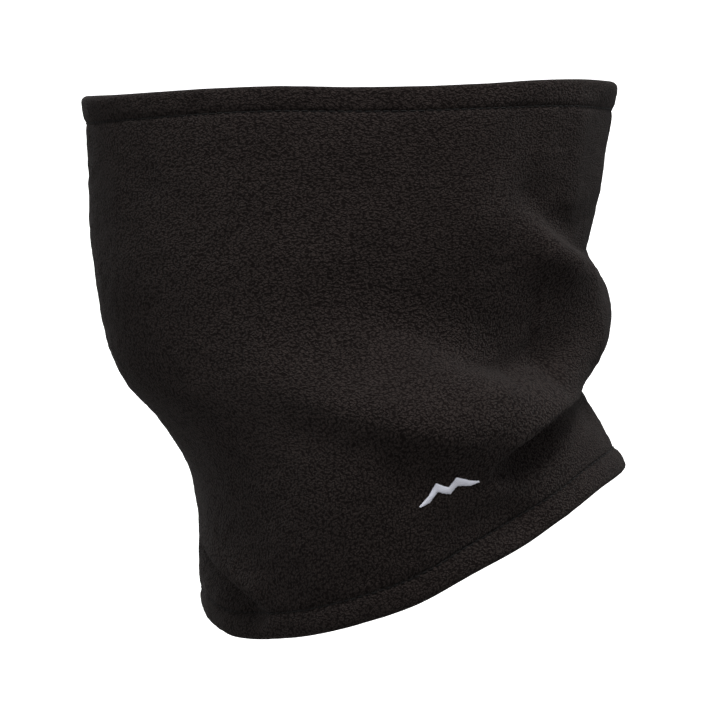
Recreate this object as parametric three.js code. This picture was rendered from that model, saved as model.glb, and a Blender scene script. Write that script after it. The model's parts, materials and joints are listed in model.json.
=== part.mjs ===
// A fleece neck gaiter in its worn shape: over the face and nape at the top, round the neck at the bottom.
// Millimetres. +Z is up, the wearer faces -Y and the wearer's left is +X. The origin is on the neck's
// axis, level with the lowest point of the bottom hem.
import * as THREE from "three";

// ---------------------------------------------------------------- driving dimensions
const circumference = 560; // round the relaxed tube
const faceStretch = 1.06; // how far the face and head stretch the top rim
const fleeceThickness = 2.2;
const gap = 0.3; // clearance between pieces that touch
const innerGap = 0.6; // clearance of flat pieces laid against the curved inside

const topHemWidth = 11.5; // rim to sewn line
const bottomHemWidth = 10.5;
const hemRawEdge = 1.8; // cloth beyond the sewn line
const threadWidth = 1.0;
const threadHeight = 0.6;

const seamAllowance = 7;
const seamGap = 0.6; // between the two allowances of the centre back seam
const seamCornerRadius = 1.8;
const overlockHeight = 4; // depth of the thread wrapped round the allowances

const frontBottom = 14; // height of the bottom rim at the throat
const backBottom = 70; // height of the bottom rim at the nape
const shoulderDip = 33.3; // how far the bottom rim hangs lower at the sides
const rimHeight = 234; // height of the top rim at the nape
const rimSlope = 6; // how much lower the top rim is over the face
const noseReach = 131.5; // how far the top rim reaches in front of the neck's axis
const napeReach = 91;

const pullDownLow = 0.3; // share of the cloth's length where the gathering zone starts
const pullDownHigh = 0.8; // and where it ends

const markWidth = 27;
const markHeight = 10;
const markBand = 4; // the ridge's stitched band, top edge to bottom edge
const markAngle = 1.82; // radians round from the throat, to the wearer's left
const markAbove = 46; // bottom rim to the mark's base, along the cloth
const markThickness = 0.7;
const backingMargin = 3.5;
const backingThickness = 0.4;

const labelWidth = 28;
const labelLength = 30;
const labelThickness = 0.35;
const labelFoldGap = 0.6;
const labelBeside = 27; // centre back seam to the label's middle
const labelStandOff = 3.4; // inside the fleece's inner face
const tackWidth = 18;
const tackHeight = 1.2;

const stepsRound = 48;

// ---------------------------------------------------------------- colours
const fleeceBlack = new THREE.MeshStandardMaterial({ color: 0x1c1a19, roughness: 1, metalness: 0 });
const threadBlack = new THREE.MeshStandardMaterial({ color: 0x161616, roughness: 0.6, metalness: 0 });
const threadWhite = new THREE.MeshStandardMaterial({ color: 0xe4e4ee, roughness: 0.45, metalness: 0 });
const backingGrey = new THREE.MeshStandardMaterial({ color: 0x2b2b2b, roughness: 0.95, metalness: 0 });
const ribbonWhite = new THREE.MeshStandardMaterial({ color: 0xd9d8d2, roughness: 0.55, metalness: 0 });

// ---------------------------------------------------------------- the cloth's surface
// A line from the bottom rim to the top rim: reach from the neck's axis, at shares of the rise between them.
function profile(bottom, top, points) {
  return new THREE.SplineCurve(
    points.map(([reach, rise]) => new THREE.Vector2(reach, THREE.MathUtils.lerp(bottom, top, rise))),
  );
}

const throatLine = profile(frontBottom, rimHeight - rimSlope, [
  [78, 0],
  [82, 0.145],
  [89.5, 0.3],
  [111, 0.435],
  [122, 0.58],
  [127, 0.775],
  [noseReach, 1],
]);
const napeLine = profile(backBottom, rimHeight, [
  [93, 0],
  [82, 0.145],
  [81, 0.255],
  [86.5, 0.39],
  [81, 0.56],
  [85.5, 0.755],
  [napeReach, 1],
]);

// Half the width of an oval whose half depth and round length are known.
function halfWidth(halfDepth, roundLength) {
  const meanSquare = (roundLength / (2 * Math.PI)) ** 2;
  return Math.sqrt(2 * meanSquare - halfDepth ** 2);
}

// 0 at the throat and the nape, 1 at the sides, smooth all the way round.
function sideways(angle) {
  const side = Math.abs(Math.sin(angle));
  return (1.25 * side ** 2) / (side + 0.25);
}

// The middle of the cloth at an angle round from the throat and a share of the way from the bottom rim up.
function clothPoint(angle, share) {
  const front = throatLine.getPointAt(THREE.MathUtils.clamp(share, 0, 1));
  const back = napeLine.getPointAt(THREE.MathUtils.clamp(share, 0, 1));
  const halfDepth = (front.x + back.x) / 2;
  const tilt = (back.y - front.y) / 2;
  const round = circumference * THREE.MathUtils.lerp(1, faceStretch, share);
  const width = halfWidth(Math.hypot(halfDepth, tilt), round);
  const towardsBack = (1 - Math.cos(angle)) / 2;
  const egg = 1 - 0.14 * share * Math.cos(angle);
  const dip = shoulderDip * (1 - share) ** 1.6 * sideways(angle);
  return new THREE.Vector3(
    width * Math.sin(angle) * egg,
    THREE.MathUtils.lerp(-front.x, back.x, towardsBack),
    THREE.MathUtils.lerp(front.y, back.y, towardsBack) - dip,
  );
}

// The cloth's frame at one place: its point, outward normal, upward direction and direction round.
function clothFrame(angle, share) {
  const step = 1e-3;
  const low = Math.max(share - step, 0);
  const high = Math.min(share + step, 1);
  const up = clothPoint(angle, high).sub(clothPoint(angle, low)).normalize();
  const round = clothPoint(angle + step, share).sub(clothPoint(angle - step, share)).normalize();
  const normal = new THREE.Vector3().crossVectors(round, up).normalize();
  return { point: clothPoint(angle, share), normal, up, round: round.clone().cross(normal).cross(normal).negate() };
}

// The cloth's length from rim to rim at an angle.
function clothLength(angle) {
  const steps = 40;
  let length = 0;
  for (let i = 0; i < steps; i += 1) {
    length += clothPoint(angle, i / steps).distanceTo(clothPoint(angle, (i + 1) / steps));
  }
  return length;
}

// How much the angle changes for a distance along the ring.
function angleFor(distance, angle, share) {
  const step = 1e-3;
  return (distance * 2 * step) / clothPoint(angle + step, share).distanceTo(clothPoint(angle - step, share));
}

// ---------------------------------------------------------------- solids made of a strip of cloth
// A closed solid round a sheet of places. place(i, j) gives the sheet's middle point and its normal.
function stripGeometry(columns, rows, closed, thickness, place) {
  const positions = [];
  const triangles = [];
  const perColumn = 2 * (rows + 1);
  for (let i = 0; i < columns + (closed ? 0 : 1); i += 1) {
    for (let j = 0; j <= rows; j += 1) {
      const { point, normal } = place(i, j);
      for (const side of [0.5, -0.5]) {
        positions.push(...point.clone().addScaledVector(normal, side * thickness).toArray());
      }
    }
  }
  const count = positions.length / 3;
  const corner = (i, j, side) => (i * perColumn + 2 * j + side) % count;
  const quad = (a, b, c, d) => triangles.push(a, b, c, a, c, d);
  for (let i = 0; i < columns; i += 1) {
    for (let j = 0; j < rows; j += 1) {
      quad(corner(i, j, 0), corner(i + 1, j, 0), corner(i + 1, j + 1, 0), corner(i, j + 1, 0));
      quad(corner(i, j, 1), corner(i, j + 1, 1), corner(i + 1, j + 1, 1), corner(i + 1, j, 1));
    }
    quad(corner(i, 0, 1), corner(i + 1, 0, 1), corner(i + 1, 0, 0), corner(i, 0, 0));
    quad(corner(i, rows, 0), corner(i + 1, rows, 0), corner(i + 1, rows, 1), corner(i, rows, 1));
  }
  if (!closed) {
    for (let j = 0; j < rows; j += 1) {
      quad(corner(0, j, 0), corner(0, j + 1, 0), corner(0, j + 1, 1), corner(0, j, 1));
      quad(corner(columns, j, 0), corner(columns, j, 1), corner(columns, j + 1, 1), corner(columns, j + 1, 0));
    }
  }
  const geometry = new THREE.BufferGeometry();
  geometry.setAttribute("position", new THREE.Float32BufferAttribute(positions, 3));
  geometry.setIndex(triangles);
  geometry.computeVertexNormals();
  return geometry;
}

function named(name, geometry, material) {
  const mesh = new THREE.Mesh(geometry, material);
  mesh.name = name;
  return mesh;
}

// The place on the cloth, lifted off its middle by an offset along the outward normal.
function lifted(angle, share, offset) {
  const { point, normal } = clothFrame(angle, share);
  return { point: point.addScaledVector(normal, offset), normal };
}

// ---------------------------------------------------------------- the fleece panel
const topLine = topHemWidth + hemRawEdge;
const bottomLine = bottomHemWidth + hemRawEdge;
const shareUp = (distance, angle) => distance / clothLength(angle);
const shareDown = (distance, angle) => 1 - distance / clothLength(angle);

// A zone's edge: a share of the length, or the edge of a hem, less half the clearance.
const zoneEdges = {
  bottom: (angle) => shareUp(bottomLine + gap, angle),
  low: () => pullDownLow,
  high: () => pullDownHigh,
  top: (angle) => shareDown(topLine + gap, angle),
};

// The path of the cloth across the centre back seam, from the seam allowance's edge to the ring.
// Each place is given as distance beside the seam and depth inside the ring, with its turn from the wall.
function allowancePath() {
  const beside = seamGap / 2 + fleeceThickness / 2;
  const path = [{ beside, depth: seamCornerRadius + seamAllowance, turn: Math.PI / 2 }];
  for (const turn of [Math.PI / 2, Math.PI / 4]) {
    path.push({
      beside: beside + seamCornerRadius * (1 - Math.sin(turn)),
      depth: seamCornerRadius * (1 - Math.cos(turn)),
      turn,
    });
  }
  return path;
}

// The direction along the ring away from the seam. side is +1 towards the wearer's left.
function acrossSeam(side, share) {
  return clothFrame(Math.PI, share).round.multiplyScalar(-side);
}

// A place on one side of the seam.
function besideSeam(side, share, { beside, depth, turn }) {
  const { point, normal } = clothFrame(Math.PI, share);
  const away = acrossSeam(side, share);
  return {
    point: point.addScaledVector(away, beside).addScaledVector(normal, -depth),
    normal: normal.multiplyScalar(Math.cos(turn)).addScaledVector(away, -Math.sin(turn)),
  };
}

function panelZone(name, lowEdge, highEdge, rows, lowGap, highGap) {
  const allowance = allowancePath();
  const edgeColumns = allowance.length;
  const columns = stepsRound + 2 * edgeColumns;
  const wallStart = seamGap / 2 + fleeceThickness / 2 + seamCornerRadius;
  const place = (i, j) => {
    const shareAt = (angle) => {
      const length = clothLength(angle);
      return THREE.MathUtils.lerp(lowEdge(angle) + lowGap / length, highEdge(angle) - highGap / length, j / rows);
    };
    const seamShare = shareAt(Math.PI);
    if (i < edgeColumns) return besideSeam(-1, seamShare, allowance[i]);
    if (i > columns - edgeColumns) return besideSeam(1, seamShare, allowance[columns - i]);
    const reach = Math.PI - angleFor(wallStart, Math.PI, seamShare);
    const angle = THREE.MathUtils.lerp(-reach, reach, (i - edgeColumns) / (columns - 2 * edgeColumns));
    return lifted(angle, shareAt(angle), 0);
  };
  return named(name, stripGeometry(columns, rows, false, fleeceThickness, place), fleeceBlack);
}

// The thread wrapped round both allowances: down one face, round their edges and up the other.
function seamThread(name, lowEdge, highEdge, rows) {
  const beside = seamGap / 2 + fleeceThickness + gap + threadHeight / 2;
  const depth = seamCornerRadius + seamAllowance + gap + threadHeight / 2;
  const wraps = [
    { side: -1, beside, depth: depth - overlockHeight, stretch: 1, turn: Math.PI / 2 },
    { side: -1, beside, depth, stretch: Math.SQRT2, turn: (3 * Math.PI) / 4 },
    { side: 1, beside, depth, stretch: Math.SQRT2, turn: (3 * Math.PI) / 4 },
    { side: 1, beside, depth: depth - overlockHeight, stretch: 1, turn: Math.PI / 2 },
  ];
  const place = (i, j) => {
    const share = THREE.MathUtils.lerp(lowEdge(Math.PI), highEdge(Math.PI), j / rows);
    const { point, normal } = clothFrame(Math.PI, share);
    const away = acrossSeam(wraps[i].side, share);
    const { beside: reach, depth: inside, stretch, turn } = wraps[i];
    return {
      point: point.addScaledVector(away, reach).addScaledVector(normal, -inside),
      normal: away.multiplyScalar(Math.sin(turn) * stretch).addScaledVector(normal, Math.cos(turn) * stretch),
    };
  };
  return named(name, stripGeometry(wraps.length - 1, rows, false, threadHeight, place), threadBlack);
}

// ---------------------------------------------------------------- the hems and their threads
// The hem's cloth goes from the raw line to the rim outside, turns over, and comes back inside.
function hemPath(line) {
  const turnRadius = (fleeceThickness + gap) / 2;
  const path = [{ offset: 0, fromRim: line, turn: 0 }];
  for (let k = 0; k <= 4; k += 1) {
    const turn = (k / 4) * Math.PI;
    path.push({
      offset: -turnRadius * (1 - Math.cos(turn)),
      fromRim: turnRadius * (1 - Math.sin(turn)) + fleeceThickness / 2,
      turn,
    });
  }
  path.push({ offset: -2 * turnRadius, fromRim: line, turn: Math.PI });
  return path;
}

// upward is +1 for the top hem and -1 for the bottom hem.
function hem(name, line, upward) {
  const path = hemPath(line);
  const place = (i, j) => {
    const angle = -Math.PI + (2 * Math.PI * i) / stepsRound;
    const { offset, fromRim, turn } = path[upward > 0 ? j : path.length - 1 - j];
    const share = upward > 0 ? shareDown(fromRim, angle) : shareUp(fromRim, angle);
    const { point, normal, up } = clothFrame(angle, share);
    return {
      point: point.addScaledVector(normal, offset),
      normal: normal.multiplyScalar(Math.cos(turn)).addScaledVector(up, upward * Math.sin(turn)),
    };
  };
  return named(name, stripGeometry(stepsRound, path.length - 1, true, fleeceThickness, place), fleeceBlack);
}

// One ring of thread on the hem's outer or inner face.
function hemThread(name, fromRim, upward, inside) {
  const outerOffset = fleeceThickness / 2 + gap + threadHeight / 2;
  const innerOffset = -(1.5 * fleeceThickness + 2 * gap + threadHeight / 2);
  const place = (i, j) => {
    const angle = -Math.PI + (2 * Math.PI * i) / stepsRound;
    const distance = fromRim + (j - 0.5) * threadWidth * -upward;
    const share = upward > 0 ? shareDown(distance, angle) : shareUp(distance, angle);
    return lifted(angle, share, inside ? innerOffset : outerOffset);
  };
  return named(name, stripGeometry(stepsRound, 1, true, threadHeight, place), threadBlack);
}

// ---------------------------------------------------------------- the embroidered mark
// A ridge with two peaks, level at its foot: its height as a share, along its width as a share.
function ridge(along) {
  const peaks = [
    { at: 0.36, half: 0.36, height: 1 },
    { at: 0.74, half: 0.26, height: 0.66 },
  ];
  return Math.max(0.08, ...peaks.map(({ at, half, height }) => height * (1 - Math.abs(along - at) / half)));
}

// A patch that follows the cloth. top(along) and bottom(along) give its edges above the mark's base.
function patch(name, material, width, thickness, offset, columns, bottom, top) {
  const place = (i, j) => {
    const along = i / columns;
    const height = THREE.MathUtils.lerp(bottom(along), top(along), j / 2);
    const baseShare = shareUp(markAbove, markAngle);
    const angle = markAngle + angleFor((along - 0.5) * width, markAngle, baseShare);
    return lifted(angle, shareUp(markAbove + height, angle), offset);
  };
  return named(name, stripGeometry(columns, 2, false, thickness, place), material);
}

function embroidery() {
  const outer = fleeceThickness / 2;
  const ridgeTop = (along) => markHeight * ridge(along);
  const ridgeBottom = (along) => Math.max(0, ridgeTop(along) - markBand);
  const satin = patch(
    "embroidery_satin_thread", threadWhite, markWidth, markThickness,
    outer + gap + markThickness / 2, 26, ridgeBottom, ridgeTop,
  );
  const backing = patch(
    "embroidery_backing", backingGrey, markWidth + 2 * backingMargin, backingThickness,
    -(outer + innerGap + backingThickness / 2), 10, () => -backingMargin, () => markHeight + backingMargin,
  );
  const bobbin = patch(
    "embroidery_bobbin_thread", threadWhite, markWidth, backingThickness,
    -(outer + innerGap + gap + 1.5 * backingThickness), 26, ridgeBottom, ridgeTop,
  );
  return [satin, backing, bobbin];
}

// ---------------------------------------------------------------- the care label
// The label's own frame hangs from its hinge line: x across the ribbon, y into the tube, z up.
// Its ribbon's ends swing under the thread that holds them, so the thread stands clear of their turn.
const ribbonHalf = labelThickness + labelFoldGap / 2;
const tackBottom = ribbonHalf + gap;
const labelAngle = Math.PI - angleFor(labelBeside, Math.PI, 1);
const labelHinge = new THREE.Group();

function seatLabelHinge() {
  const top = clothFrame(labelAngle, shareDown(topLine + gap, labelAngle));
  const bottom = clothFrame(labelAngle, shareDown(topLine + gap + labelLength, labelAngle));
  const up = top.point.clone().sub(bottom.point).normalize();
  const inward = top.normal.clone().negate();
  inward.addScaledVector(up, -inward.dot(up)).normalize();
  const across = new THREE.Vector3().crossVectors(inward, up);
  labelHinge.quaternion.setFromRotationMatrix(new THREE.Matrix4().makeBasis(across, inward, up));
  labelHinge.position.copy(top.point);
  labelHinge.position.addScaledVector(inward, fleeceThickness / 2 + labelStandOff);
  labelHinge.position.addScaledVector(up, -(tackBottom + tackHeight + innerGap));
}

function careLabel() {
  const foldRadius = (labelThickness + labelFoldGap) / 2;
  const path = [{ y: -foldRadius, z: 0, turn: Math.PI }];
  for (let k = 0; k <= 4; k += 1) {
    const turn = Math.PI - (k / 4) * Math.PI;
    path.push({
      y: foldRadius * Math.cos(turn),
      z: -labelLength + foldRadius + labelThickness / 2 - foldRadius * Math.sin(turn),
      turn,
    });
  }
  path.push({ y: foldRadius, z: 0, turn: 0 });
  const place = (i, j) => {
    const { y, z, turn } = path[j];
    return {
      point: new THREE.Vector3((0.5 - i) * labelWidth, y, z),
      normal: new THREE.Vector3(0, Math.cos(turn), -Math.sin(turn)),
    };
  };
  return named("care_label", stripGeometry(1, path.length - 1, false, labelThickness, place), ribbonWhite);
}

// The thread that holds the ribbon's two ends to the hem, as one flat bar above the ribbon.
function labelStitches() {
  const mesh = named("label_stitches", new THREE.BoxGeometry(tackWidth, ribbonHalf, tackHeight), threadBlack);
  mesh.position.set(0, -ribbonHalf / 2, tackBottom + tackHeight / 2);
  return mesh;
}

// ---------------------------------------------------------------- the gaiter
function fleeceAndSeam() {
  const { bottom, low, high, top } = zoneEdges;
  return [
    panelZone("fleece_lower", bottom, low, 6, 0, gap / 2),
    panelZone("fleece_middle", low, high, 8, gap / 2, gap / 2),
    panelZone("fleece_upper", high, top, 4, gap / 2, 0),
    seamThread("seam_thread_lower", bottom, low, 6),
    seamThread("seam_thread_middle", low, high, 8),
    seamThread("seam_thread_upper", high, top, 4),
  ];
}

function hems() {
  return [
    hem("top_hem", topLine, 1),
    hemThread("top_hem_needle_thread", topHemWidth, 1, false),
    hemThread("top_hem_bobbin_thread", topHemWidth, 1, true),
    hem("bottom_hem", bottomLine, -1),
    hemThread("bottom_hem_needle_thread", bottomHemWidth, -1, false),
    hemThread("bottom_hem_bobbin_thread", bottomHemWidth, -1, true),
  ];
}

seatLabelHinge();
labelHinge.add(careLabel(), labelStitches());

const gaiter = new THREE.Group();
gaiter.add(...fleeceAndSeam(), ...hems(), ...embroidery(), labelHinge);

export default gaiter;
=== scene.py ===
"""A black fleece neck gaiter in its worn shape, with turned hems, a back seam, a mark and a label.

Lengths are millimetres until a mesh is made. The wearer faces -Y and +X is the wearer's left.
A place on the cloth is an angle round from the throat, and a share of the way from rim to rim.
"""
import json
import math

import bpy
import numpy as np
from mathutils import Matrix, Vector


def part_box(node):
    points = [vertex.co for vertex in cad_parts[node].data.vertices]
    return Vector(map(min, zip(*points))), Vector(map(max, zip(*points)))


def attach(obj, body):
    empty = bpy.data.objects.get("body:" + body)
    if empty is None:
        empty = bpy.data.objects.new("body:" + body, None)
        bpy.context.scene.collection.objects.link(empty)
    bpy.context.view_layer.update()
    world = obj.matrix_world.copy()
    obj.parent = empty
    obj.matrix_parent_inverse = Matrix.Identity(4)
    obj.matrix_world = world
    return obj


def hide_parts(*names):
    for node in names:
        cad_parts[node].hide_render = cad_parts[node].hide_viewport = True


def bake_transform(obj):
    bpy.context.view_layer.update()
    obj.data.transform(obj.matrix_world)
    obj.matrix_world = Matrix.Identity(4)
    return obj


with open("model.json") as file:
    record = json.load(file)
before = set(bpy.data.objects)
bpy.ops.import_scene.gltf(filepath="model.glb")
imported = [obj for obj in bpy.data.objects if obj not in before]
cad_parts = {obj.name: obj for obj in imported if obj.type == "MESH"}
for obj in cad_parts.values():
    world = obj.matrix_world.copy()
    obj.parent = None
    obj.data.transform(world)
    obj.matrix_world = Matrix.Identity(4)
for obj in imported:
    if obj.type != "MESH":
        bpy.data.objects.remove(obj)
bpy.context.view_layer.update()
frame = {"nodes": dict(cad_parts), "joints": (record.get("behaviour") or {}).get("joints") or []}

# ------------------------------------------------------------------ sizes
MM = 0.001
FLEECE = 2.2
HEM_FOLD_GAP = 0.4
TOP_HEM = 11.5
BOTTOM_HEM = 10.5
RAW_EDGE = 1.8
HEM_PUFF = 0.9
GROOVE_DEPTH = 0.65
GROOVE_WIDTH = 1.5
HEM_PINCH = 0.5
HEM_STEP = 0.004

ROUND = 560.0
RELAXED_LENGTH = 250.0
FACE_STRETCH = 1.06

SEAM_ALLOWANCE = 7.0
SEAM_CORNER = 1.8
SEAM_GAP = 0.3
OVERLOCK_DEPTH = 4.0

BODY_COLUMNS = 330
BODY_ROWS = 140
HEM_COLUMNS = 400

STITCH_PITCH = 3.0
STITCH_LENGTH = 2.5
THREAD = 0.5
OVERLOCK_PITCH = 2.2

MARK_WIDTH = 27.0
MARK_BAND = 4.3
MARK_RISE = 5.6
MARK_PLACE = (1.81, 0.179)
MARK_RADIUS = 92.0
MARK_CLOTH_LENGTH = 232.0
STRAND_PITCH = 0.36
STRAND = 0.42
BACKING = 0.5

LABEL_THICKNESS = 0.35


def reach(node, corner, axis):
    """One coordinate of a CAD node's box, in millimetres."""
    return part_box(node)[corner][axis] / MM


NOSE_REACH = -reach("top_hem", 0, 1)
NAPE_REACH = reach("top_hem", 1, 1) + 0.8
COLLAR_REACH = reach("bottom_hem", 1, 1) + 3.6
RIM_HEIGHT = reach("top_hem", 1, 2)

# The outlines over the throat and the nape, bottom rim to top rim: reach from the neck's axis, height.
THROAT_LINE = [
    (79.8, 11.5), (82.4, 25), (82.6, 50), (85.5, 70), (92, 83.5), (101, 95), (111.8, 105), (119.3, 117),
    (123.4, 131), (126.3, 152), (128.1, 180), (129.0, 205), (NOSE_REACH - 0.7, RIM_HEIGHT - 7),
]
NAPE_LINE = [
    (COLLAR_REACH, 70), (91, 80), (86, 88.5), (80.5, 97), (77.2, 103), (75.4, 105.4), (77, 107.4),
    (81.6, 111.5), (86.6, 118.5), (89.8, 127), (90.2, 137), (86.6, 148), (81.8, 157), (79.5, 161.6),
    (79.4, 163.2), (81, 169), (84.6, 184), (87.5, 200), (90, 216), (NAPE_REACH, RIM_HEIGHT - 1),
]
# The same line with its two creases smoothed out, which the sides follow.
SOFT_NAPE_LINE = [
    (COLLAR_REACH, 70), (90.5, 81), (86.5, 92), (84.5, 104), (83.5, 118), (83.5, 134), (83.5, 150),
    (83.5, 166), (84.5, 182), (87.2, 200), (90, 216), (NAPE_REACH, RIM_HEIGHT - 1),
]
# Heights of the rims at every 15 degrees from the throat to the nape.
BOTTOM_RIM = [10.8, 6.3, 1.5, 1.0, 3.0, 8.2, 16.0, 28.4, 40, 52.3, 62.8, 68.6, 71]
TOP_RIM = [226.9, 226.6, 226.6, 227.3, 228.4, 229.0, 228.4, 228.8, 230.1, 231.8, 232.7, 232.6, 232.7]


# ------------------------------------------------------------------ curves and noise
def smooth_line(points, count=1200):
    """A Catmull-Rom line through the points, as evenly spaced samples."""
    p = np.array(points, float)
    p = np.vstack([2 * p[0] - p[1], p, 2 * p[-1] - p[-2]])
    knots = np.linspace(0, len(points) - 1, count)
    k = np.minimum(knots.astype(int), len(points) - 2)
    t = (knots - k)[:, None]
    a, b, c, d = p[k], p[k + 1], p[k + 2], p[k + 3]
    line = 0.5 * (2 * b + (c - a) * t + (2 * a - 5 * b + 4 * c - d) * t**2 + (3 * b - a - 3 * c + d) * t**3)
    walked = np.concatenate([[0], np.cumsum(np.linalg.norm(np.diff(line, axis=0), axis=1))])
    even = np.linspace(0, walked[-1], count)
    return np.stack([np.interp(even, walked, line[:, n]) for n in range(line.shape[1])], axis=1)


def along(line, share):
    """The line's two coordinates at shares of its length."""
    where = np.clip(share, 0, 1) * (len(line) - 1)
    places = np.arange(len(line))
    return np.interp(where, places, line[:, 0]), np.interp(where, places, line[:, 1])


def cloth_noise(u, v, cell, seed):
    """Smooth noise from -1 to 1 over cloth lengths u and v, with features about as wide as the cell."""
    rng = np.random.RandomState(seed)
    size = 257
    grid = rng.uniform(-1, 1, (size, size))
    x, y = u / cell + 1000.0, v / cell + 1000.0
    i, j = np.floor(x).astype(int), np.floor(y).astype(int)
    fx, fy = x - i, y - j
    fx, fy = fx * fx * (3 - 2 * fx), fy * fy * (3 - 2 * fy)
    corner = lambda a, b: grid[(i + a) % size, (j + b) % size]
    low = corner(0, 0) * (1 - fx) + corner(1, 0) * fx
    high = corner(0, 1) * (1 - fx) + corner(1, 1) * fx
    return low * (1 - fy) + high * fy


# ------------------------------------------------------------------ the folds
class Fold:
    """A ridge, a hollow or a crease along a path of (degrees from the throat, height).

    above and below are lists of how far the cloth stands out along the path, on each side of it,
    with how wide each side is. The two sides meet over the softness, so different lifts make a lip,
    and droop is how far the cloth above then hangs down over it. side limits it to one side.
    """

    def __init__(self, path, above, below=None, widths=(10, 10), soft=0.0, droop=0.0, side=0):
        self.path = np.array(path, float)
        self.above = np.array(above, float)
        self.below = self.above if below is None else np.array(below, float)
        self.widths, self.soft, self.droop, self.side = widths, max(soft, 1e-3), droop, side

    def measure(self, degrees, height):
        """The signed distance from the path in millimetres, above it positive, and the place along it."""
        per_degree = ROUND / 360
        x, y = degrees * per_degree, height
        nearest = np.full(x.shape, 1e9)
        signed = np.zeros(x.shape)
        place = np.zeros(x.shape)
        px, py = self.path[:, 0] * per_degree, self.path[:, 1]
        for k in range(len(px) - 1):
            dx, dy = px[k + 1] - px[k], py[k + 1] - py[k]
            t = np.clip(((x - px[k]) * dx + (y - py[k]) * dy) / (dx**2 + dy**2), 0, 1)
            ox, oy = x - px[k] - t * dx, y - py[k] - t * dy
            distance = np.hypot(ox, oy)
            closer = distance < nearest
            nearest = np.where(closer, distance, nearest)
            signed = np.where(closer, distance * np.sign((dx * oy - dy * ox) * dx), signed)
            place = np.where(closer, k + t, place)
        return signed, place

    def raise_by(self, angle, height):
        """How far the fold lifts the cloth outwards, and how far down it pulls it."""
        out = np.zeros(angle.shape)
        down = np.zeros(angle.shape)
        for side in (LEFT, RIGHT):
            if self.side == -side:
                continue
            degrees = np.degrees(angle) * side
            signed, place = self.measure(np.where(degrees < -90, degrees + 360, degrees), height)
            knots = np.arange(len(self.path))
            share = 0.5 + 0.5 * np.tanh(signed / self.soft)
            high = np.exp(-((np.maximum(signed, 0) / self.widths[0]) ** 2))
            low = np.exp(-((np.minimum(signed, 0) / self.widths[1]) ** 2))
            out += share * np.interp(place, knots, self.above) * high
            out += (1 - share) * np.interp(place, knots, self.below) * low
            if self.droop:
                depth = np.abs(np.interp(place, knots, self.below)) / np.abs(self.below).max()
                down += self.droop * depth * share * high
        return out, down


LEFT, RIGHT = 1, -1
FOLDS = [
    # The big roll round the neck, and the long hollow above it.
    Fold([(56, 114), (68, 105), (80, 96), (94, 88), (107, 86), (128, 96), (150, 106), (172, 115), (200, 117)],
         [0, 2.6, 6.5, 9, 9, 7.0, 4.0, 0.5, 0], widths=(19, 12), side=LEFT),
    Fold([(84, 144), (96, 137), (107, 129), (118, 122), (130, 118), (144, 118), (154, 124), (164, 130)],
         [0, -3, -7, -12, -18, -17, -7, 0], widths=(22, 12), side=LEFT),
    # The short ridge that runs down to the nape's upper crease, and the crease above it.
    Fold([(124, 181), (132, 173), (142, 162), (151, 155), (160, 151), (170, 149)],
         [0, 2.5, 7.5, 9.0, 5.5, 0.5], widths=(8, 12), side=LEFT),
    Fold([(131, 188), (138, 180), (146, 172), (155, 166), (164, 162)],
         [0, -2, -3.5, -1.5, 0], widths=(10, 5), side=LEFT),
    # The roll hangs over the collar, from the nape's lower crease down and forwards.
    Fold([(186, 104), (172, 104), (156, 102), (139, 96), (130, 89), (122.5, 81), (117.5, 74), (115, 66)],
         [0, 0, 1.0, 2.2, 2.4, 2.4, 1.4, 0], [0, 0, -5, -11, -12, -9, -4, 0],
         widths=(9, 15), soft=0.9, droop=3.5, side=LEFT),
    Fold([(96, 36), (108, 45), (121, 52), (132, 58)], [0, -3, -4, 0], widths=(10, 8), side=LEFT),
    # The belly hangs over a tuck beside the throat, above the bottom hem.
    Fold([(3, 43), (11, 40), (21, 34), (31, 26.5), (40, 19), (49, 11)],
         [0, 1.8, 3.2, 3.4, 2.4, 0], [0, -5, -9.5, -11, -8, 0],
         widths=(10, 10), soft=2.2, droop=2.0, side=LEFT),
    # Soft upright folds under the top hem at the back.
    Fold([(119, 212), (121, 172)], [1.2, 1.6], widths=(13, 13), side=LEFT),
    Fold([(133, 214), (135, 186)], [-1.4, -1.8], widths=(9, 9), side=LEFT),
    Fold([(151, 216), (152, 184)], [1.4, 1.8], widths=(8, 8), side=LEFT),
    # The other side gathers in its own way.
    Fold([(60, 112), (76, 101), (96, 94), (116, 99), (140, 108), (165, 112)],
         [0, 3.5, 6, 6, 4.5, 1], widths=(15, 9), side=RIGHT),
    Fold([(96, 148), (112, 139), (130, 133), (150, 136), (166, 142)],
         [0, -4, -6.5, -5, 0], widths=(14, 12), side=RIGHT),
    Fold([(172, 104), (160, 102), (145, 96), (132, 86), (124, 74)],
         [0, 1.5, 2.8, 2.2, 0], [0, -5, -8, -6, 0], widths=(9, 14), soft=0.9, droop=2.5, side=RIGHT),
    Fold([(128, 192), (140, 174), (152, 160), (168, 157)], [0, 2.5, 4, 1], widths=(6, 9), side=RIGHT),
    Fold([(3, 40), (14, 35), (27, 27), (40, 17)],
         [0, 1.0, 1.2, 0], [0, -3.5, -4.5, 0], widths=(8, 9), soft=0.8, droop=2.0, side=RIGHT),
    Fold([(112, 214), (115, 176)], [1.0, 1.6], widths=(12, 12), side=RIGHT),
    # Shallow waves down the front.
    Fold([(24, 206), (31, 150), (44, 108)], [0, 1.1, 0], widths=(14, 14), side=LEFT),
    Fold([(18, 200), (26, 146), (38, 104)], [0, 1.3, 0], widths=(15, 12), side=RIGHT),
]


# ------------------------------------------------------------------ the cloth's surface
throat = smooth_line(THROAT_LINE)
nape = smooth_line(NAPE_LINE)
soft_nape = smooth_line(SOFT_NAPE_LINE)


def rim_line(heights):
    """A smooth line through the rim's heights, level where it crosses the throat and the nape."""
    steps = range(-1, len(heights) + 1)
    mirrored = [heights[1], *heights, heights[-2]]
    return smooth_line(list(zip(steps, mirrored)))


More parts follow.
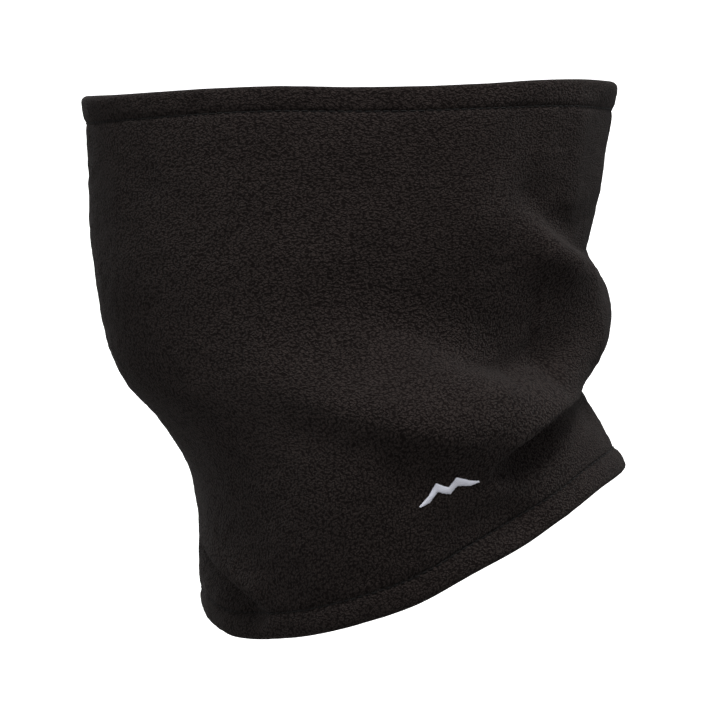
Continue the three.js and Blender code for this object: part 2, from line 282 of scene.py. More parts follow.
bottom_rim = rim_line(BOTTOM_RIM)
top_rim = rim_line(TOP_RIM)


def rim_height(rim, angle):
    """The rim's height at an angle."""
    steps = np.abs(angle) / math.pi * (len(BOTTOM_RIM) - 1)
    return np.interp(steps, rim[:, 0], rim[:, 1])


def level_between(line_ends, angle, towards_back, rim):
    """How far a rim lies from the straight slope between its heights at the throat and the nape."""
    return rim_height(rim, angle) - (line_ends[0] * (1 - towards_back) + line_ends[1] * towards_back)


def plain_cloth(angle, share):
    """The cloth's outer face without folds."""
    front, front_height = along(throat, share)
    back, back_height = along(soft_nape, share)
    towards_back = (1 - np.cos(angle)) / 2
    half_depth, tilt = (front + back) / 2, (back_height - front_height) / 2
    round_length = ROUND * (1 + (FACE_STRETCH - 1) * share)
    width = np.sqrt(2 * (round_length / (2 * math.pi)) ** 2 - half_depth**2 - tilt**2)
    x = width * np.sin(angle) * (1 - 0.14 * share * np.cos(angle))
    wrapped = np.abs((angle + math.pi) % (2 * math.pi) - math.pi)
    creased = np.clip((np.degrees(wrapped) - 140) / 32, 0, 1)
    creased = creased * creased * (3 - 2 * creased)
    creased_back, creased_height = along(nape, share)
    back = back + (creased_back - back) * creased
    back_height = back_height + (creased_height - back_height) * creased
    level = front_height + (back_height - front_height) * towards_back
    low = level_between((THROAT_LINE[0][1], NAPE_LINE[0][1]), wrapped, towards_back, bottom_rim)
    high = level_between((THROAT_LINE[-1][1], NAPE_LINE[-1][1]), wrapped, towards_back, top_rim)
    height = level + low * (1 - share) ** 1.6 + high * share**3
    y = -front + (front + back) * towards_back
    return np.stack([x, y, height], axis=-1)


def normals_of(surface_at, angle, share):
    """Outward normals of a surface, by small steps round and up it."""
    step = 2e-3
    low, high = np.clip(share - step, 0, 1), np.clip(share + step, 0, 1)
    up = surface_at(angle, high) - surface_at(angle, low)
    turn = surface_at(angle + step, share) - surface_at(angle - step, share)
    normal = np.cross(turn, up)
    return normal / np.linalg.norm(normal, axis=-1, keepdims=True)


length_angles = np.linspace(-math.pi, math.pi, 181)
length_shares = np.linspace(0, 1, 241)
length_grid = plain_cloth(length_angles[:, None], length_shares[None, :])
cloth_lengths = np.linalg.norm(np.diff(length_grid, axis=1), axis=2).sum(axis=1)


def cloth_length(angle):
    """Rim to rim along the cloth at an angle."""
    wrapped = (angle + math.pi) % (2 * math.pi) - math.pi
    return np.interp(wrapped, length_angles, cloth_lengths)


def hem_shape(from_rim, hem):
    """How far the outer face stands out near a hem: puffed over the turn, pulled in at the stitches."""
    t = np.clip(from_rim / hem, 0, 1)
    puff = HEM_PUFF * np.sin(math.pi * t**0.6) ** 0.8
    groove = GROOVE_DEPTH * np.exp(-(((from_rim - hem) / GROOVE_WIDTH) ** 2))
    return puff - groove


def folded_cloth(angle, share):
    """The cloth's outer face with its folds, but without the pile's small bumps."""
    place = plain_cloth(angle, share)
    normal = normals_of(plain_cloth, angle, share)
    angle = np.broadcast_to(angle, place.shape[:-1])
    out = np.zeros(place.shape[:-1])
    down = np.zeros(place.shape[:-1])
    for fold in FOLDS:
        more_out, more_down = fold.raise_by(angle, place[..., 2])
        out += more_out
        down += more_down
    u, v = angle * ROUND / (2 * math.pi), share * RELAXED_LENGTH
    free = np.minimum(1, np.minimum(share, 1 - share) / 0.12)
    out += free * (0.9 * cloth_noise(u, v, 46, 3) + 0.45 * cloth_noise(u, v, 21, 5))
    place = place + normal * out[..., None]
    place[..., 2] -= down
    return place


def outer_face(angle, share):
    """The cloth's outer face, with hems and a little unevenness."""
    place = folded_cloth(angle, share)
    normal = normals_of(folded_cloth, angle, share)
    angle = np.broadcast_to(angle, place.shape[:-1])
    length = cloth_length(angle)
    lift = hem_shape((1 - share) * length, TOP_HEM) + hem_shape(share * length, BOTTOM_HEM)
    u, v = angle * ROUND / (2 * math.pi), share * RELAXED_LENGTH
    lift = lift + 0.22 * cloth_noise(u, v, 4.2, 11) + 0.16 * cloth_noise(u, v, 2.3, 12)
    return place + normal * lift[..., None], normal


# ------------------------------------------------------------------ meshes
def make_object(name, vertices, faces, material, smooth=True, uv=None):
    """A mesh object from millimetre vertices, with the cloth lengths of each vertex as its uv map."""
    mesh = bpy.data.meshes.new(name)
    mesh.from_pydata((np.asarray(vertices) * MM).tolist(), [], [tuple(f) for f in faces])
    mesh.validate()
    if uv is not None:
        layer = mesh.uv_layers.new(name="cloth")
        loops = np.zeros(len(mesh.loops), int)
        mesh.loops.foreach_get("vertex_index", loops)
        layer.data.foreach_set("uv", (np.asarray(uv)[loops] * MM).astype(np.float32).ravel())
    mesh.polygons.foreach_set("use_smooth", [smooth] * len(mesh.polygons))
    thing = bpy.data.objects.new(name, mesh)
    bpy.context.scene.collection.objects.link(thing)
    mesh.materials.append(material)
    return thing


def strip_faces(columns, rows, closed):
    """Quads of a closed solid round a sheet, whose vertices go column by column, outer then inner."""
    count = columns if closed else columns + 1

    def quads(*corners):
        """One quad for each place, from four (column, row, side) corners in turn."""
        return np.stack([(i % count) * (rows + 1) * 2 + j * 2 + side for i, j, side in corners], 1)

    i, j = [a.ravel() for a in np.meshgrid(np.arange(columns), np.arange(rows), indexing="ij")]
    faces = [
        quads((i, j, 0), (i + 1, j, 0), (i + 1, j + 1, 0), (i, j + 1, 0)),
        quads((i, j, 1), (i, j + 1, 1), (i + 1, j + 1, 1), (i + 1, j, 1)),
    ]
    i = np.arange(columns)
    faces.append(quads((i, 0, 1), (i + 1, 0, 1), (i + 1, 0, 0), (i, 0, 0)))
    faces.append(quads((i, rows, 0), (i + 1, rows, 0), (i + 1, rows, 1), (i, rows, 1)))
    if not closed:
        j = np.arange(rows)
        last = np.full_like(j, columns)
        first = np.zeros_like(j)
        faces.append(quads((first, j, 0), (first, j + 1, 0), (first, j + 1, 1), (first, j, 1)))
        faces.append(quads((last, j, 0), (last, j, 1), (last, j + 1, 1), (last, j + 1, 0)))
    return np.vstack(faces)


def strip_object(name, outer, inner, uv, material, closed):
    """A piece of cloth from its two faces, each columns by rows."""
    columns, rows = outer.shape[0] - (0 if closed else 1), outer.shape[1] - 1
    vertices = np.stack([outer, inner], axis=2).reshape(-1, 3)
    uvs = np.repeat(uv[:, :, None, :], 2, axis=2).reshape(-1, 2)
    return make_object(name, vertices, strip_faces(columns, rows, closed), material, uv=uvs)


def relax(grid, rounds):
    """The grid smoothed, with its edges held."""
    for _ in range(rounds):
        grid = grid.copy()
        around = grid[:-2, 1:-1] + grid[2:, 1:-1] + grid[1:-1, :-2] + grid[1:-1, 2:]
        grid[1:-1, 1:-1] = around / 4
    return grid


def strands(name, paths, thickness, material, sides=6):
    """Threads along the paths, each an array of points, with round closed ends."""
    vertices, faces, uvs = [], [], []
    base = 0
    for path in paths:
        path = np.asarray(path, float)
        ahead = np.gradient(path, axis=0)
        ahead /= np.linalg.norm(ahead, axis=1, keepdims=True)
        helper = np.array([0.31, 0.52, 0.79])
        first = np.cross(ahead, helper)
        first /= np.linalg.norm(first, axis=1, keepdims=True)
        second = np.cross(ahead, first)
        walked = np.concatenate([[0], np.cumsum(np.linalg.norm(np.diff(path, axis=0), axis=1))])
        count = len(path)
        for k in range(count):
            radius = thickness / 2 * (0.55 if k in (0, count - 1) else 1.0)
            for n in range(sides):
                t = 2 * math.pi * n / sides
                vertices.append(path[k] + radius * (math.cos(t) * first[k] + math.sin(t) * second[k]))
                uvs.append((walked[k], t * thickness / 2))
        for k in range(count - 1):
            for n in range(sides):
                m = (n + 1) % sides
                low, high = base + k * sides, base + (k + 1) * sides
                faces.append((low + n, low + m, high + m, high + n))
        faces.append(tuple(base + n for n in reversed(range(sides))))
        faces.append(tuple(base + (count - 1) * sides + n for n in range(sides)))
        base += count * sides
    return make_object(name, vertices, faces, material, uv=np.array(uvs))


# ------------------------------------------------------------------ materials
def new_material(name, colour, roughness):
    """A plain material with its node tree and its shader."""
    material = bpy.data.materials.new(name)
    material.use_nodes = True
    shader = material.node_tree.nodes["Principled BSDF"]
    shader.inputs["Base Color"].default_value = (*colour, 1)
    shader.inputs["Roughness"].default_value = roughness
    return material, material.node_tree, shader


def node(tree, kind, **values):
    """A node with its properties and named inputs set."""
    made = tree.nodes.new(kind)
    for name, value in values.items():
        if name in made.inputs:
            made.inputs[name].default_value = value
        else:
            setattr(made, name, value)
    return made


def flat_noise(tree, **values):
    """A noise texture over the cloth's own two directions."""
    return node(tree, "ShaderNodeTexNoise", noise_dimensions="2D", **values)


def set_ramp(ramp, low, high):
    """Sets a ramp's two ends, each a place and a colour."""
    for element, (place, colour) in zip(ramp.color_ramp.elements, (low, high)):
        element.position = place
        element.color = (*colour, 1)


def bump_up(tree, shader, height, strength, distance):
    """Bumps a shader's surface by a height socket."""
    bump = node(tree, "ShaderNodeBump", Strength=strength, Distance=distance)
    tree.links.new(height, bump.inputs["Height"])
    tree.links.new(bump.outputs["Normal"], shader.inputs["Normal"])


def curled_cloth(tree):
    """The cloth's own two directions, curled a little so that the pile doesn't lie in lines."""
    link = tree.links.new
    uv = node(tree, "ShaderNodeUVMap", uv_map="cloth")
    stretch = node(tree, "ShaderNodeMapping", Scale=(1.08, 1.0, 1.0))
    link(uv.outputs["UV"], stretch.inputs["Vector"])
    curl = flat_noise(tree, Scale=600.0, Detail=1.0)
    centred = node(tree, "ShaderNodeVectorMath", operation="SUBTRACT")
    centred.inputs[1].default_value = (0.5, 0.5, 0.5)
    curled = node(tree, "ShaderNodeVectorMath", operation="MULTIPLY_ADD")
    curled.inputs[1].default_value = (0.0018, 0.0018, 0.0)
    link(stretch.outputs["Vector"], curl.inputs["Vector"])
    link(curl.outputs["Color"], centred.inputs[0])
    link(centred.outputs[0], curled.inputs[0])
    link(stretch.outputs["Vector"], curled.inputs[2])
    return curled.outputs[0]


def fleece_material():
    """Short brushed pile: pebbled clumps about a millimetre across, with painted shade between them and a
    painted highlight on their tops.
    """
    material, tree, shader = new_material("black_fleece", (0.0115, 0.0096, 0.0091), 1.0)
    link = tree.links.new
    curled = curled_cloth(tree)
    clumps = node(tree, "ShaderNodeTexVoronoi", feature="SMOOTH_F1", Scale=900.0, Smoothness=0.3)
    clumps.voronoi_dimensions = "2D"
    fibres = flat_noise(tree, Scale=1600.0, Detail=2.0, Roughness=0.6)
    patches = flat_noise(tree, Scale=55.0, Detail=3.0, Roughness=0.6)
    for texture in (clumps, fibres, patches):
        link(curled, texture.inputs["Vector"])
    top = node(tree, "ShaderNodeMapRange")
    for socket, value in (("From Min", 0.05), ("From Max", 0.62), ("To Min", 1.0), ("To Max", 0.0)):
        top.inputs[socket].default_value = value
    link(clumps.outputs["Distance"], top.inputs["Value"])
    height = node(tree, "ShaderNodeMath", operation="MULTIPLY_ADD")
    height.inputs[1].default_value = 0.6
    link(fibres.outputs[0], height.inputs[0])
    link(top.outputs["Result"], height.inputs[2])
    bump_up(tree, shader, height.outputs[0], 1.0, 0.0006)
    # The colour follows the pile's height: painted shade in the hollows between the clumps and painted
    # highlights on their tops.
    shade = node(tree, "ShaderNodeValToRGB")
    set_ramp(shade, (0.2, (0.0044, 0.0031, 0.0029)), (0.85, (0.0218, 0.0170, 0.0156)))
    level = node(tree, "ShaderNodeMath", operation="MULTIPLY")
    level.inputs[1].default_value = 0.7
    link(height.outputs[0], level.inputs[0])
    link(level.outputs[0], shade.inputs["Fac"])
    worn = node(tree, "ShaderNodeValToRGB")
    set_ramp(worn, (0.3, (0.85, 0.85, 0.85)), (0.7, (1, 1, 1)))
    link(patches.outputs[0], worn.inputs["Fac"])
    wear = node(tree, "ShaderNodeMix", data_type="RGBA", blend_type="MULTIPLY")
    wear.inputs["Factor"].default_value = 1.0
    link(shade.outputs["Color"], wear.inputs[6])
    link(worn.outputs["Color"], wear.inputs[7])
    link(wear.outputs[2], shader.inputs["Base Color"])
    shader.inputs["Sheen Weight"].default_value = 0.02
    shader.inputs["Sheen Roughness"].default_value = 0.5
    shader.inputs["Specular IOR Level"].default_value = 0.03
    return material


def felt_material():
    """Pressed backing: short fibres lying every way."""
    material, tree, shader = new_material("dark_backing", (0.03, 0.03, 0.032), 0.9)
    link = tree.links.new
    uv = node(tree, "ShaderNodeUVMap", uv_map="cloth")
    fibres = flat_noise(tree, Scale=1500.0, Detail=4.0, Distortion=2.5)
    link(uv.outputs["UV"], fibres.inputs["Vector"])
    shade = node(tree, "ShaderNodeValToRGB")
    set_ramp(shade, (0, (0.015, 0.015, 0.016)), (1, (0.06, 0.06, 0.064)))
    link(fibres.outputs[0], shade.inputs["Fac"])
    link(shade.outputs["Color"], shader.inputs["Base Color"])
    bump_up(tree, shader, fibres.outputs[0], 0.6, 0.0002)
    return material


def ribbon_material():
    """A woven ribbon: fine threads across and along, with a plain face."""
    material, tree, shader = new_material("label_ribbon", (0.36, 0.355, 0.335), 0.6)
    link = tree.links.new
    uv = node(tree, "ShaderNodeUVMap", uv_map="cloth")
    warp = node(tree, "ShaderNodeTexWave", bands_direction="X", Scale=420.0, Distortion=0.4)
    weft = node(tree, "ShaderNodeTexWave", bands_direction="Y", Scale=300.0, Distortion=0.4)
    both = node(tree, "ShaderNodeMath", operation="MULTIPLY")
    for texture, socket in ((warp, 0), (weft, 1)):
        link(uv.outputs["UV"], texture.inputs["Vector"])
        link(texture.outputs["Fac"], both.inputs[socket])
    shade = node(tree, "ShaderNodeValToRGB")
    set_ramp(shade, (0, (0.27, 0.265, 0.245)), (1, (0.4, 0.395, 0.37)))
    link(both.outputs[0], shade.inputs["Fac"])
    link(shade.outputs["Color"], shader.inputs["Base Color"])
    bump_up(tree, shader, both.outputs[0], 0.5, 0.0001)
    shader.inputs["Sheen Weight"].default_value = 0.2
    return material


def thread_material(name, colour, roughness, sheen):
    """Twisted thread: fine slanting plies along it."""
    material, tree, shader = new_material(name, colour, roughness)
    link = tree.links.new
    uv = node(tree, "ShaderNodeUVMap", uv_map="cloth")
    plies = node(tree, "ShaderNodeTexWave", bands_direction="DIAGONAL", Scale=900.0, Distortion=1.5)
    link(uv.outputs["UV"], plies.inputs["Vector"])
    bump_up(tree, shader, plies.outputs["Fac"], 0.5, 0.0001)
    shade = node(tree, "ShaderNodeMix", data_type="RGBA")
    shade.inputs[6].default_value = (*[c * 0.7 for c in colour], 1)
    shade.inputs[7].default_value = (*colour, 1)
    link(plies.outputs["Fac"], shade.inputs["Factor"])
    link(shade.outputs[2], shader.inputs["Base Color"])
    shader.inputs["Sheen Weight"].default_value = sheen
    shader.inputs["Specular IOR Level"].default_value = 0.15
    return material


FLEECE_LOOK = fleece_material()
BACKING_LOOK = felt_material()
RIBBON_LOOK = ribbon_material()
BLACK_THREAD = thread_material("black_thread", (0.005, 0.0048, 0.0048), 0.8, 0.0)
WHITE_THREAD = thread_material("white_thread", (0.6, 0.61, 0.68), 0.5, 0.1)


# ------------------------------------------------------------------ the fleece
def body_shares(angle, rows):
    """Shares of the cloth's length from the bottom stitches to the top stitches, for each column."""
    length = cloth_length(angle)
    low, high = BOTTOM_HEM / length, 1 - TOP_HEM / length
    return low[:, None] + (high - low)[:, None] * np.linspace(0, 1, rows + 1)[None, :]


def seam_path(steps=5):
    """The cloth's middle from the seam's corner inwards: distance from the seam, depth, turn."""
    away = SEAM_GAP / 2 + FLEECE / 2
    path = []
    for turn in np.linspace(0, math.pi / 2, steps + 1)[1:]:
        sideways = away + SEAM_CORNER * (1 - math.sin(turn))
        path.append((sideways, FLEECE / 2 + SEAM_CORNER * (1 - math.cos(turn)), turn))
    start = FLEECE / 2 + SEAM_CORNER
    for depth in np.linspace(start, SEAM_ALLOWANCE, 4)[1:]:
        path.append((away, depth, math.pi / 2))
    return path


def seam_allowance(share, side):
    """Columns of the outer and inner faces where the cloth turns in at the seam, on one side of it."""
    angle = np.full(share.shape, math.pi)
    place, normal = outer_face(angle, share)
    across = np.cross(normal, np.gradient(place, axis=0))
    across *= np.sign(across[:, :1]) * side / np.linalg.norm(across, axis=-1, keepdims=True)
    outer, inner, walked = [], [], []
    for away, depth, turn in seam_path():
        middle = place + across * away - normal * depth
        facing = normal * math.cos(turn) - across * math.sin(turn)
        outer.append(middle + facing * FLEECE / 2)
        inner.append(middle - facing * FLEECE / 2)
        walked.append(depth)
    return outer, inner, walked


def fleece_body():
    """One cut of cloth, sewn into a tube at the nape with its edges turned in."""
    corner = (SEAM_GAP / 2 + FLEECE / 2 + SEAM_CORNER) / 90
    angle = np.linspace(-math.pi + corner, math.pi - corner, BODY_COLUMNS)
    share = body_shares(angle, BODY_ROWS)
    outer, _ = outer_face(angle[:, None], share)
    soft = relax(outer, 5)
    up = np.gradient(soft, axis=1)
    turn = np.gradient(soft, axis=0)
    normal = np.cross(turn, up)
    normal /= np.linalg.norm(normal, axis=-1, keepdims=True)
    inner = soft - normal * FLEECE
    round_way = angle[:, None] * ROUND / (2 * math.pi)
    uv = np.stack(np.broadcast_arrays(round_way, share * RELAXED_LENGTH), axis=-1)
    seam_share = body_shares(np.array([math.pi]), BODY_ROWS)[0]
    for side, end in ((-1, 0), (1, -1)):
        out, ins, walked = seam_allowance(seam_share, side)
        turned_uv = [uv[end] + [side * w, 0] for w in walked]
        order = slice(None, None, -1) if side < 0 else slice(None)
        extra = [np.array(part[order]) for part in (out, ins, turned_uv)]
        joined = [[e, whole] if side < 0 else [whole, e] for e, whole in zip(extra, (outer, inner, uv))]
        outer, inner, uv = [np.concatenate(parts) for parts in joined]
    return strip_object("fleece_body", outer, inner, uv, FLEECE_LOOK, False)


def hem_path(hem, rows=9, turns=8):
    """The hem's cloth from its stitches over the rim and back: offset, distance from the rim, turn."""
    radius = (FLEECE + HEM_FOLD_GAP) / 2
    edge = FLEECE / 2 + radius
    down = np.linspace(hem, edge, rows)[:-1]
    path = [(0.0, d, 0.0) for d in down]
    for turn in np.linspace(0, math.pi, turns + 1):
        path.append((radius * (1 - math.cos(turn)), edge - radius * math.sin(turn), turn))
    path += [(2 * radius, d, math.pi) for d in np.linspace(edge, hem + RAW_EDGE, rows + 1)[1:]]
    return path


def hem_piece(name, hem, upward):
    """A hem: the cloth goes over the rim and back down inside, past the stitches."""
    angle = np.linspace(-math.pi, math.pi, HEM_COLUMNS, endpoint=False)[:, None]
    length = cloth_length(angle)
    path = hem_path(hem)
    if upward < 0:
        path = path[::-1]
    outer, inner, uv = [], [], []
    walked = 0.0
    for offset, from_rim, turn in path:
        share = 1 - from_rim / length if upward > 0 else from_rim / length
        place, normal = outer_face(angle, share)
        above, below = np.clip(share + HEM_STEP, 0, 1), np.clip(share - HEM_STEP, 0, 1)
        up = folded_cloth(angle, above) - folded_cloth(angle, below)
        up /= np.linalg.norm(up, axis=-1, keepdims=True)
        inside = turn > math.pi / 2
        pinch = HEM_PINCH * math.exp(-(((from_rim - hem) / GROOVE_WIDTH) ** 2)) if inside else 0.0
        middle = place - normal * (FLEECE / 2 + offset - pinch)
        facing = normal * math.cos(turn) + up * upward * math.sin(turn)
        outer.append((middle + facing * FLEECE / 2)[:, 0])
        inner.append((middle - facing * FLEECE / 2)[:, 0])
        walked += 1.3
        up_the_cloth = np.full(len(angle), 400 * upward + walked)
        uv.append(np.stack([angle[:, 0] * ROUND / (2 * math.pi), up_the_cloth], axis=-1))
    stack = lambda parts: np.stack(parts, axis=1)
    return strip_object(name, stack(outer), stack(inner), stack(uv), FLEECE_LOOK, True)


# ------------------------------------------------------------------ the stitches
def hem_share(angle, hem, upward):
    """The share of the cloth's length where a hem's stitches are."""
    return 1 - hem / cloth_length(angle) if upward > 0 else hem / cloth_length(angle)


def hem_stitches(name, hem, upward, depth, thickness):
    """A row of straight stitches round a hem, lying at a depth below the outer face."""
    count = int(ROUND / STITCH_PITCH)
    half = STITCH_LENGTH / STITCH_PITCH * math.pi / count
    dip = np.array([-0.9, -0.25, 0.05, 0.05, -0.25, -0.9])
    away = 1 if depth < FLEECE else -1
    rng = np.random.RandomState(17 if depth < FLEECE else 18)
    middles = -math.pi + (np.arange(count) + 0.5) * 2 * math.pi / count
    angle = middles[:, None] + half * np.array([-1.0, -0.85, -0.35, 0.35, 0.85, 1.0])[None, :]
    from_rim = hem + rng.uniform(-0.12, 0.12, (count, 1))
    place, normal = outer_face(angle, hem_share(angle, from_rim, upward))
    paths = place + normal * (away * dip - depth + away * thickness * 0.4)[None, :, None]
    return strands(name, paths, thickness, BLACK_THREAD)


def overlock():
    """Loops of thread over the raw edges of the seam's two allowances, from hem to hem."""
    length = cloth_length(math.pi)
    rows = int((length - TOP_HEM - BOTTOM_HEM - 2) / OVERLOCK_PITCH)
    share = (BOTTOM_HEM + 1 + OVERLOCK_PITCH * np.arange(rows + 1)) / length
    place, normal = outer_face(np.full(share.shape, math.pi), share)
    up = np.gradient(place, axis=0)
    across = np.cross(normal, up)
    across /= np.linalg.norm(across, axis=-1, keepdims=True)
    half = SEAM_GAP / 2 + FLEECE + THREAD * 0.4
    shape = [(-half, 0.0), (-half, 0.6), (-half, 1.0), (0.0, 1.12), (half, 1.0), (half, 0.6), (half, 0.0)]
    paths = []
    for k in range(rows):
        step = np.linspace(0, 0.75, len(shape))
        points = [
            place[k] + up[k] * s + across[k] * x - normal[k] * (SEAM_ALLOWANCE - OVERLOCK_DEPTH * (1 - d))
            for s, (x, d) in zip(step, shape)
        ]
        paths.append(points)
    for side in (-1, 1):
        chain = place + across * side * (half + 0.1) - normal * (SEAM_ALLOWANCE - OVERLOCK_DEPTH)
        paths += [chain[k:k + 2] for k in range(rows)]
    return strands("seam_overlock", paths, THREAD, BLACK_THREAD)


# ------------------------------------------------------------------ the mark
def on_cloth(across, up, depth):
    """A point of the mark, from lengths along and up the cloth, at a depth below its outer face."""
    angle, share = MARK_PLACE
    across, up = np.asarray(across, float), np.asarray(up, float)
    turned = angle + across / MARK_RADIUS
    here = share + up / MARK_CLOTH_LENGTH
    place, normal = outer_face(turned, here)
    return place - normal * np.asarray(depth)[..., None]


def ridge_line(x):
    """The height of the mountain ridge along the mark, and how thick the ridge's band is there."""
    knots = np.array([-0.5, -0.34, -0.2, -0.1, 0.0, 0.13, 0.24, 0.36, 0.5]) * MARK_WIDTH
    tops = np.array([-0.55, -0.1, 0.62, 0.2, -0.12, 0.4, 0.1, -0.3, -0.62]) * MARK_RISE
    band = np.array([0.15, 0.75, 1.0, 0.9, 0.8, 1.0, 0.85, 0.6, 0.12]) * MARK_BAND
    return np.interp(x, knots, tops), np.interp(x, knots, band)


def mark_strands(name, depth, thickness, pitch, inset, material):
    """Satin stitches side by side across the ridge's band."""
    rng = np.random.RandomState(5)
    paths = []
    for x in np.arange(-MARK_WIDTH / 2 + inset, MARK_WIDTH / 2 - inset, pitch):
        top, band = ridge_line(x)
        band = max(band - inset, 0.5) + rng.uniform(-0.12, 0.12)
        t = np.linspace(0, 1, 7)
        bow = np.sin(math.pi * t) ** 0.5
        lean = 0.45
        height = depth + (thickness * 1.3) * (1 - bow) * (1 if depth < FLEECE else -1)
        paths.append(on_cloth(x + lean * (t - 0.5), top - band * t, height))
    return strands(name, paths, thickness, material)


def backing_patch():
    """A soft patch of backing behind the stitches, on the inside of the fleece."""
    wide, high = MARK_WIDTH / 2 + 3.0, MARK_RISE / 2 + MARK_BAND + 3.0
    columns, rows = 36, 18
    along_mark, up_mark = np.linspace(-wide, wide, columns + 1), np.linspace(-high, high - 1.5, rows + 1)
    x, y = np.meshgrid(along_mark, up_mark, indexing="ij")
    rough = 0.25 * cloth_noise(x, y, 2.1, 31)
    inside = FLEECE + 0.35
    outer = on_cloth(x + rough, y - rough, np.full(x.shape, inside))
    inner = on_cloth(x + rough, y - rough, inside + BACKING + 0.1 * cloth_noise(x, y, 1.4, 32))
    uv = np.stack([x, y], axis=-1)
    return strip_object("embroidery_backing_patch", outer, inner, uv, BACKING_LOOK, False)


# ------------------------------------------------------------------ the care label
def label_frame():
    """The label's hinge, the direction along it, the way its ribbon hangs, and its corners, from the CAD."""
    joint = [j for j in frame["joints"] if j["name"] == "label_flap"][0]
    hinge, axis = np.array(joint["pos_m"]) / MM, np.array(joint["axis"])
    corners = np.array([v.co for v in frame["nodes"]["care_label"].data.vertices]) / MM
    middle = (corners.min(axis=0) + corners.max(axis=0)) / 2
    hang = middle - hinge
    hang -= axis * hang.dot(axis)
    return hinge, axis, hang / np.linalg.norm(hang), corners


def care_label():
    """A blank woven ribbon, folded at the bottom, with its two ends together at the hinge."""
    hinge, axis, hang, corners = label_frame()
    span, drop = (corners - hinge) @ axis, (corners - hinge) @ hang
    facing = np.cross(axis, hang)
    long, width, middle = drop.max() - 0.4, np.ptp(span), (span.max() + span.min()) / 2
    gap = LABEL_THICKNESS * 0.5 + 0.25
    down = np.concatenate([np.linspace(0.6, long - gap, 24), np.full(7, long - gap)])
    bend = np.concatenate([np.zeros(24), np.linspace(0, math.pi / 2, 8)[1:]])
    half_path = [(d + gap * math.sin(b), gap * math.cos(b), b) for d, b in zip(down, bend)]
    path = half_path + [(d, -side, math.pi - b) for d, side, b in half_path[-2::-1]]
    across = np.linspace(-width / 2, width / 2, 21)
    outer, inner, uv = [], [], []
    for n, (d, side, b) in enumerate(path):
        wave = 0.18 * np.sin(across * 0.35 + d * 0.12) * min(1, d / 8)
        middle_line = hinge + hang * d + axis * (middle + across[:, None])
        middle_line = middle_line + facing * (side + wave)[:, None]
        out = facing * math.cos(b) + hang * math.sin(b)
        outer.append(middle_line + out * LABEL_THICKNESS / 2)
        inner.append(middle_line - out * LABEL_THICKNESS / 2)
        uv.append(np.stack([across, np.full(len(across), n * 1.2)], axis=-1))
    outer, inner, uv = np.array(outer), np.array(inner), np.array(uv)
    return strip_object("care_label_ribbon", outer, inner, uv, RIBBON_LOOK, False)


def label_tack():
    """The row of stitches that holds the label's ends to the hem."""
    low, high = [np.array(corner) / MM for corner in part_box("label_stitches")]
    _, axis, hang, _ = label_frame()
    middle = (low + high) / 2
    count = int((high - low)[0] / abs(axis[0]) / STITCH_PITCH)
    dip = np.array([-0.35, -0.1, 0.1, 0.1, -0.1, -0.35])
    facing = np.cross(axis, hang)
    paths = []
    for k in range(count):
        start = (k - count / 2) * STITCH_PITCH + 0.3
        across = start + STITCH_LENGTH * np.linspace(0, 1, len(dip))
        paths.append(middle + axis * across[:, None] + facing * dip[:, None])
    return strands("label_tack_stitches", paths, THREAD, BLACK_THREAD)


def place_piece(piece, replaced, body_name=None):
    """Rides a piece on its body, or else bakes its placing into its mesh, and hides the CAD parts it
    replaces.
    """
    if body_name:
        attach(piece, body_name)
    else:
        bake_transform(piece)
    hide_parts(*replaced)


body = fleece_body()
top_hem = hem_piece("top_hem_fleece", TOP_HEM, 1)
bottom_hem = hem_piece("bottom_hem_fleece", BOTTOM_HEM, -1)
INSIDE = 2 * FLEECE + HEM_FOLD_GAP
top_needle = hem_stitches("top_hem_needle_stitches", TOP_HEM, 1, 0.0, THREAD)
top_bobbin = hem_stitches("top_hem_bobbin_stitches", TOP_HEM, 1, INSIDE, THREAD)
bottom_needle = hem_stitches("bottom_hem_needle_stitches", BOTTOM_HEM, -1, 0.0, THREAD)
bottom_bobbin = hem_stitches("bottom_hem_bobbin_stitches", BOTTOM_HEM, -1, INSIDE, THREAD)
seam_loops = overlock()
mark = mark_strands("embroidery_satin_stitches", -0.35, STRAND, STRAND_PITCH, 0.0, WHITE_THREAD)
mark_back = mark_strands("embroidery_bobbin_stitches", FLEECE + 1.3, 0.3, 0.7, 0.5, WHITE_THREAD)
backing = backing_patch()
label = care_label()
tack = label_tack()

place_piece(body, ["fleece_lower", "fleece_middle", "fleece_upper"])
place_piece(seam_loops, ["seam_thread_lower", "seam_thread_middle", "seam_thread_upper"])
place_piece(top_hem, ["top_hem"], "face_band")
place_piece(bottom_hem, ["bottom_hem"], "neck_tube")
place_piece(top_needle, ["top_hem_needle_thread"], "face_band")
place_piece(top_bobbin, ["top_hem_bobbin_thread"], "face_band")
place_piece(bottom_needle, ["bottom_hem_needle_thread"], "neck_tube")
place_piece(bottom_bobbin, ["bottom_hem_bobbin_thread"], "neck_tube")
place_piece(mark, ["embroidery_satin_thread"], "neck_tube")
place_piece(mark_back, ["embroidery_bobbin_thread"], "neck_tube")
place_piece(backing, ["embroidery_backing"], "neck_tube")
place_piece(label, ["care_label"], "care_label")
place_piece(tack, ["label_stitches"], "face_band")


# ------------------------------------------------------------------ the stage, lights and camera
# All in metres.
LAMP_AIM = (0, 0, 0.12)
VIEW_MIDDLE = (-0.0151, 0.1163)
VIEW_WIDTH = 0.3024
VIEW_DISTANCE = 3.0


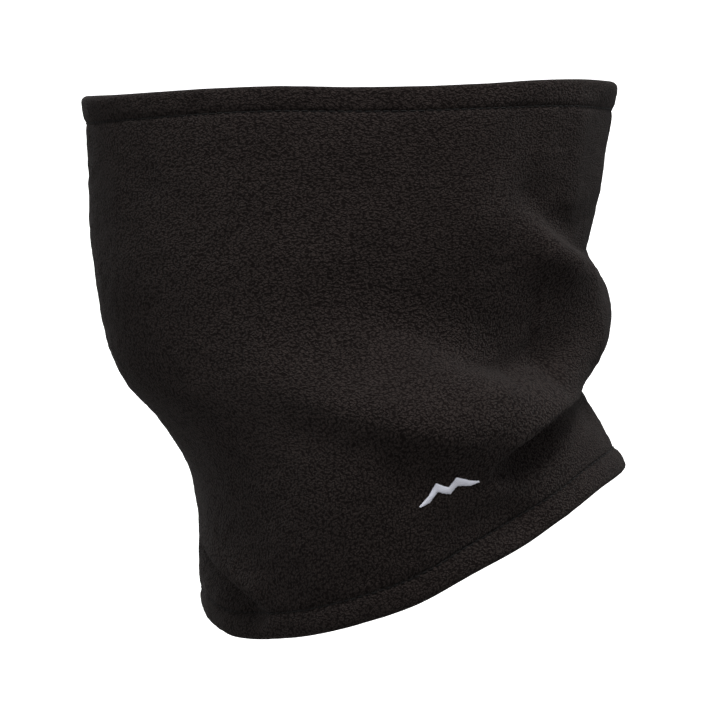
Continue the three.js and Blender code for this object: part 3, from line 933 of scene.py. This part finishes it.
def area_light(name, place, width, watts):
    """A square lamp that shines at the object's middle."""
    light = bpy.data.lights.new(name, "AREA")
    light.size = width
    light.energy = watts
    lamp = bpy.data.objects.new(name, light)
    lamp.location = place
    lamp.rotation_euler = (Vector(LAMP_AIM) - Vector(place)).to_track_quat("-Z", "Y").to_euler()
    bpy.context.scene.collection.objects.link(lamp)


def flat_panel(name, corners, shader_colour, glow):
    """A flat part of the studio, which isn't part of the object."""
    material, _, shader = new_material(name, shader_colour, 0.9)
    shader.inputs["Emission Color"].default_value = (1, 1, 1, 1)
    shader.inputs["Emission Strength"].default_value = glow
    mesh = bpy.data.meshes.new(name)
    mesh.from_pydata(corners, [], [tuple(range(len(corners)))])
    mesh.materials.append(material)
    panel = bpy.data.objects.new(name, mesh)
    bpy.context.scene.collection.objects.link(panel)


def stage():
    """A pale floor under the object, and a white wall far behind it."""
    far, low, high = 4.2, -0.25, 3.0
    near_left, near_right = (far, -far, low), (far, far, low)
    far_left, far_right = (-far, -far, low), (-far, far, low)
    flat_panel("floor", [far_left, near_left, near_right, far_right], (0.38, 0.38, 0.38), 0.0)
    wall = [far_left, far_right, (-far, far, high), (-far, -far, high)]
    flat_panel("wall", wall, (0.9, 0.9, 0.9), 1.0)
    world = bpy.data.worlds.new("studio")
    world.use_nodes = True
    world.node_tree.nodes["Background"].inputs["Color"].default_value = (1, 1, 1, 1)
    world.node_tree.nodes["Background"].inputs["Strength"].default_value = 0.3
    bpy.context.scene.world = world
    area_light("key", (0.85, 0.3, 1.75), 0.7, 72)
    area_light("far_side", (-1.6, -1.0, 1.1), 1.0, 34)
    area_light("back", (-0.9, 1.8, 0.9), 1.0, 20)
    area_light("front", (0.1, -2.0, 0.8), 1.0, 13)
    bpy.context.scene.view_settings.view_transform = "Standard"


def camera():
    """The camera looks level at the wearer's left side, from far enough for a nearly flat view."""
    view = bpy.data.cameras.new("camera")
    view.lens = view.sensor_width * VIEW_DISTANCE / VIEW_WIDTH
    view.clip_end = 20
    holder = bpy.data.objects.new("camera", view)
    holder.location = (VIEW_DISTANCE, *VIEW_MIDDLE)
    holder.rotation_euler = (math.pi / 2, 0, math.pi / 2)
    bpy.context.scene.collection.objects.link(holder)
    bpy.context.scene.camera = holder


stage()
camera()
